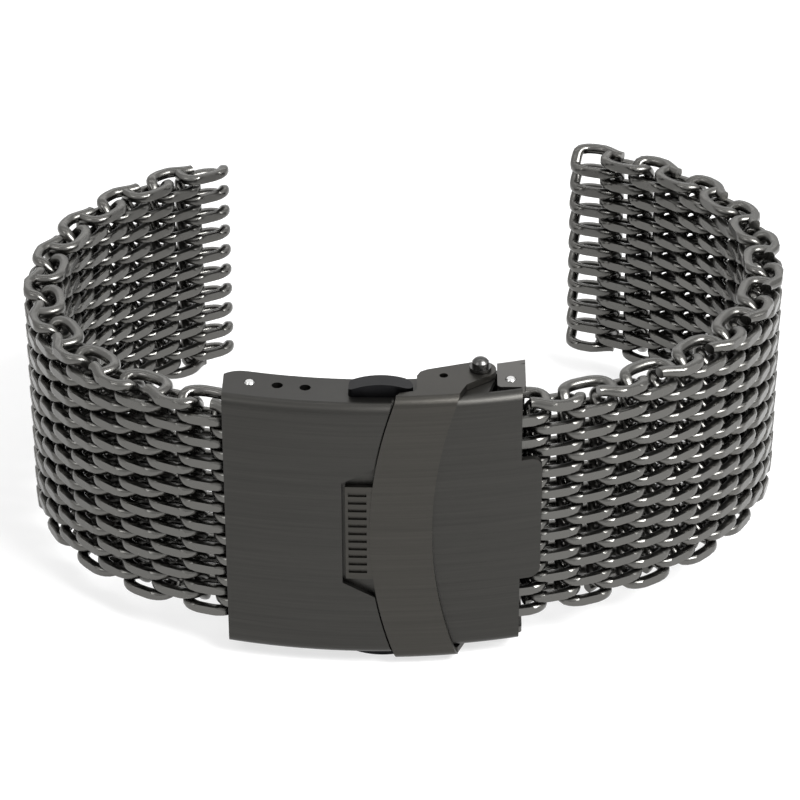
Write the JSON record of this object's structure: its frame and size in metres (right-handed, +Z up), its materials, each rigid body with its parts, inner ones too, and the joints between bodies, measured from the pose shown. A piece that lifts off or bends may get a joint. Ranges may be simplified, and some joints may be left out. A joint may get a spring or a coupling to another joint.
{
  "type": "mesh watch band",
  "caption": "Two-strap wire mesh watch band with a folding push-button clasp and flip lock, bent to its worn shape.",
  "frame": {"origin": "centre of the bounding box in plan, at the height of the lowest point, with the band standing on its long edge", "axes": "+X to the right along the clasp, +Y from the clasp face towards the watch, +Z up across the band width"},
  "size_m": [0.0698, 0.0546, 0.0284],
  "materials": {
    "mesh_steel": "polished black coating",
    "cover_steel": "brushed black coating",
    "lock_steel": "brushed black coating",
    "blade_steel": "satin black coating",
    "pin_steel": "polished",
    "tip_steel": "polished",
    "button_steel": "satin black coating",
    "spring_steel": "satin"
  },
  "bodies": {
    "clasp_cover": {"cover": "cover_steel", "latch_guide": "blade_steel", "hinge_rivet": "pin_steel", "bar_a_tube": "pin_steel", "bar_a_spring_upper": "spring_steel", "bar_a_spring_lower": "spring_steel", "button_spring_upper": "spring_steel", "button_spring_lower": "spring_steel"},
    "flip_lock": {"flip_lock": "lock_steel"},
    "middle_blade": {"middle_blade": "blade_steel", "fold_pin": "pin_steel"},
    "inner_blade": {"inner_blade": "blade_steel", "catch_post": "pin_steel", "bar_b_tube": "pin_steel", "bar_b_spring_upper": "spring_steel", "bar_b_spring_lower": "spring_steel"},
    "button_upper": {"button_upper": "button_steel"},
    "button_lower": {"button_lower": "button_steel"},
    "bar_a_tip_upper": {"bar_a_tip_upper": "tip_steel"},
    "bar_a_tip_lower": {"bar_a_tip_lower": "tip_steel"},
    "bar_b_tip_upper": {"bar_b_tip_upper": "tip_steel"},
    "bar_b_tip_lower": {"bar_b_tip_lower": "tip_steel"},
    "mesh_left_01": {"mesh_left_01": "mesh_steel"},
    "mesh_left_02": {"mesh_left_02": "mesh_steel"},
    "mesh_left_03": {"mesh_left_03": "mesh_steel"},
    "mesh_left_04": {"mesh_left_04": "mesh_steel"},
    "mesh_left_05": {"mesh_left_05": "mesh_steel"},
    "mesh_left_06": {"mesh_left_06": "mesh_steel"},
    "mesh_left_07": {"mesh_left_07": "mesh_steel"},
    "mesh_left_08": {"mesh_left_08": "mesh_steel"},
    "mesh_left_09": {"mesh_left_09": "mesh_steel"},
    "mesh_left_10": {"mesh_left_10": "mesh_steel"},
    "mesh_right_01": {"mesh_right_01": "mesh_steel"},
    "mesh_right_02": {"mesh_right_02": "mesh_steel"},
    "mesh_right_03": {"mesh_right_03": "mesh_steel"},
    "mesh_right_04": {"mesh_right_04": "mesh_steel"},
    "mesh_right_05": {"mesh_right_05": "mesh_steel"},
    "mesh_right_06": {"mesh_right_06": "mesh_steel"},
    "mesh_right_07": {"mesh_right_07": "mesh_steel"},
    "mesh_right_08": {"mesh_right_08": "mesh_steel"},
    "mesh_right_09": {"mesh_right_09": "mesh_steel"},
    "mesh_right_10": {"mesh_right_10": "mesh_steel"},
    "mesh_right_11": {"mesh_right_11": "mesh_steel"}
  },
  "joints": [
    {"name": "flip_lock_turn", "type": "hinge", "parent": "clasp_cover", "child": "flip_lock", "pos_m": [0.00672, -0.0217, 0.01392], "axis": [0, 0, 1], "range_deg": [0, 80]},
    {"name": "cover_fold", "type": "hinge", "parent": "clasp_cover", "child": "middle_blade", "pos_m": [0.00672, -0.0217, 0.01392], "axis": [0, 0, 1], "range_deg": [-150, 0]},
    {"name": "blade_fold", "type": "hinge", "parent": "middle_blade", "child": "inner_blade", "pos_m": [-0.00523, -0.02257, 0.01392], "axis": [0, 0, 1], "range_deg": [0, 150]},
    {"name": "button_upper_press", "type": "slide", "parent": "clasp_cover", "child": "button_upper", "axis": [0, 0, 1], "range_m": [-0.001, 0], "stiffness_N_per_m": 300, "springref_m": 0.001, "deforming": ["button_spring_upper"]},
    {"name": "button_lower_press", "type": "slide", "parent": "clasp_cover", "child": "button_lower", "axis": [0, 0, -1], "range_m": [-0.001, 0], "stiffness_N_per_m": 300, "springref_m": 0.001, "deforming": ["button_spring_lower"]},
    {"name": "bar_a_tip_upper_press", "type": "slide", "parent": "clasp_cover", "child": "bar_a_tip_upper", "axis": [0, 0, 1], "range_m": [-0.0008, 0], "stiffness_N_per_m": 200, "springref_m": 0.001, "deforming": ["bar_a_spring_upper"]},
    {"name": "bar_a_tip_lower_press", "type": "slide", "parent": "clasp_cover", "child": "bar_a_tip_lower", "axis": [0, 0, -1], "range_m": [-0.0008, 0], "stiffness_N_per_m": 200, "springref_m": 0.001, "deforming": ["bar_a_spring_lower"]},
    {"name": "bar_b_tip_upper_press", "type": "slide", "parent": "inner_blade", "child": "bar_b_tip_upper", "axis": [0, 0, 1], "range_m": [-0.0008, 0], "stiffness_N_per_m": 200, "springref_m": 0.001, "deforming": ["bar_b_spring_upper"]},
    {"name": "bar_b_tip_lower_press", "type": "slide", "parent": "inner_blade", "child": "bar_b_tip_lower", "axis": [0, 0, -1], "range_m": [-0.0008, 0], "stiffness_N_per_m": 200, "springref_m": 0.001, "deforming": ["bar_b_spring_lower"]},
    {"name": "left_strap_swing", "type": "hinge", "parent": "clasp_cover", "child": "mesh_left_01", "pos_m": [-0.01308, -0.02305, 0.01392], "axis": [0, 0, -1], "range_deg": [-4, 18]},
    {"name": "right_strap_swing", "type": "hinge", "parent": "inner_blade", "child": "mesh_right_01", "pos_m": [0.00932, -0.02232, 0.01392], "axis": [0, 0, 1], "range_deg": [-2, 12]},
    {"name": "left_strap_bend", "type": "hinge", "parent": "mesh_left_01", "child": "mesh_left_02", "pos_m": [-0.01844, -0.02165, 0.01392], "axis": [0, 0, -1], "range_deg": [-12, 2]},
    {"name": "left_strap_bend_03", "type": "hinge", "parent": "mesh_left_02", "child": "mesh_left_03", "pos_m": [-0.02389, -0.01871, 0.01392], "axis": [0, 0, -1], "range_deg": [-12, 2]},
    {"name": "left_strap_bend_04", "type": "hinge", "parent": "mesh_left_03", "child": "mesh_left_04", "pos_m": [-0.02833, -0.01442, 0.01392], "axis": [0, 0, -1], "range_deg": [-12, 2]},
    {"name": "left_strap_bend_05", "type": "hinge", "parent": "mesh_left_04", "child": "mesh_left_05", "pos_m": [-0.03143, -0.00907, 0.01392], "axis": [0, 0, -1], "range_deg": [-12, 2]},
    {"name": "left_strap_bend_06", "type": "hinge", "parent": "mesh_left_05", "child": "mesh_left_06", "pos_m": [-0.03299, -0.00308, 0.01392], "axis": [0, 0, -1], "range_deg": [-12, 2]},
    {"name": "left_strap_bend_07", "type": "hinge", "parent": "mesh_left_06", "child": "mesh_left_07", "pos_m": [-0.03294, 0.00311, 0.01392], "axis": [0, 0, -1], "range_deg": [-12, 2]},
    {"name": "left_strap_bend_08", "type": "hinge", "parent": "mesh_left_07", "child": "mesh_left_08", "pos_m": [-0.03133, 0.00908, 0.01392], "axis": [0, 0, -1], "range_deg": [-12, 2]},
    {"name": "left_strap_bend_09", "type": "hinge", "parent": "mesh_left_08", "child": "mesh_left_09", "pos_m": [-0.02825, 0.01445, 0.01392], "axis": [0, 0, -1], "range_deg": [-12, 2]},
    {"name": "left_strap_bend_10", "type": "hinge", "parent": "mesh_left_09", "child": "mesh_left_10", "pos_m": [-0.02396, 0.01891, 0.01392], "axis": [0, 0, -1], "range_deg": [-12, 2]},
    {"name": "right_strap_bend", "type": "hinge", "parent": "mesh_right_01", "child": "mesh_right_02", "pos_m": [0.01467, -0.02086, 0.01392], "axis": [0, 0, 1], "range_deg": [-12, 2]},
    {"name": "right_strap_bend_03", "type": "hinge", "parent": "mesh_right_02", "child": "mesh_right_03", "pos_m": [0.02023, -0.01813, 0.01392], "axis": [0, 0, 1], "range_deg": [-12, 2]},
    {"name": "right_strap_bend_04", "type": "hinge", "parent": "mesh_right_03", "child": "mesh_right_04", "pos_m": [0.02511, -0.01432, 0.01392], "axis": [0, 0, 1], "range_deg": [-12, 2]},
    {"name": "right_strap_bend_05", "type": "hinge", "parent": "mesh_right_04", "child": "mesh_right_05", "pos_m": [0.02906, -0.00956, 0.01392], "axis": [0, 0, 1], "range_deg": [-12, 2]},
    {"name": "right_strap_bend_06", "type": "hinge", "parent": "mesh_right_05", "child": "mesh_right_06", "pos_m": [0.03178, -0.004, 0.01392], "axis": [0, 0, 1], "range_deg": [-12, 2]},
    {"name": "right_strap_bend_07", "type": "hinge", "parent": "mesh_right_06", "child": "mesh_right_07", "pos_m": [0.03306, 0.00206, 0.01392], "axis": [0, 0, 1], "range_deg": [-12, 2]},
    {"name": "right_strap_bend_08", "type": "hinge", "parent": "mesh_right_07", "child": "mesh_right_08", "pos_m": [0.03283, 0.00824, 0.01392], "axis": [0, 0, 1], "range_deg": [-12, 2]},
    {"name": "right_strap_bend_09", "type": "hinge", "parent": "mesh_right_08", "child": "mesh_right_09", "pos_m": [0.031, 0.01415, 0.01392], "axis": [0, 0, 1], "range_deg": [-12, 2]},
    {"name": "right_strap_bend_10", "type": "hinge", "parent": "mesh_right_09", "child": "mesh_right_10", "pos_m": [0.02755, 0.01928, 0.01392], "axis": [0, 0, 1], "range_deg": [-12, 2]},
    {"name": "right_strap_bend_11", "type": "hinge", "parent": "mesh_right_10", "child": "mesh_right_11", "pos_m": [0.02281, 0.02325, 0.01392], "axis": [0, 0, 1], "range_deg": [-12, 2]}
  ],
  "couplings": [
    {"joint": "blade_fold", "follows": "cover_fold", "ratio": -1},
    {"joint": "left_strap_bend_03", "follows": "left_strap_bend", "ratio": 1},
    {"joint": "left_strap_bend_04", "follows": "left_strap_bend", "ratio": 1},
    {"joint": "left_strap_bend_05", "follows": "left_strap_bend", "ratio": 1},
    {"joint": "left_strap_bend_06", "follows": "left_strap_bend", "ratio": 1},
    {"joint": "left_strap_bend_07", "follows": "left_strap_bend", "ratio": 1},
    {"joint": "left_strap_bend_08", "follows": "left_strap_bend", "ratio": 1},
    {"joint": "left_strap_bend_09", "follows": "left_strap_bend", "ratio": 1},
    {"joint": "left_strap_bend_10", "follows": "left_strap_bend", "ratio": 1},
    {"joint": "right_strap_bend_03", "follows": "right_strap_bend", "ratio": 1},
    {"joint": "right_strap_bend_04", "follows": "right_strap_bend", "ratio": 1},
    {"joint": "right_strap_bend_05", "follows": "right_strap_bend", "ratio": 1},
    {"joint": "right_strap_bend_06", "follows": "right_strap_bend", "ratio": 1},
    {"joint": "right_strap_bend_07", "follows": "right_strap_bend", "ratio": 1},
    {"joint": "right_strap_bend_08", "follows": "right_strap_bend", "ratio": 1},
    {"joint": "right_strap_bend_09", "follows": "right_strap_bend", "ratio": 1},
    {"joint": "right_strap_bend_10", "follows": "right_strap_bend", "ratio": 1},
    {"joint": "right_strap_bend_11", "follows": "right_strap_bend", "ratio": 1}
  ]
}
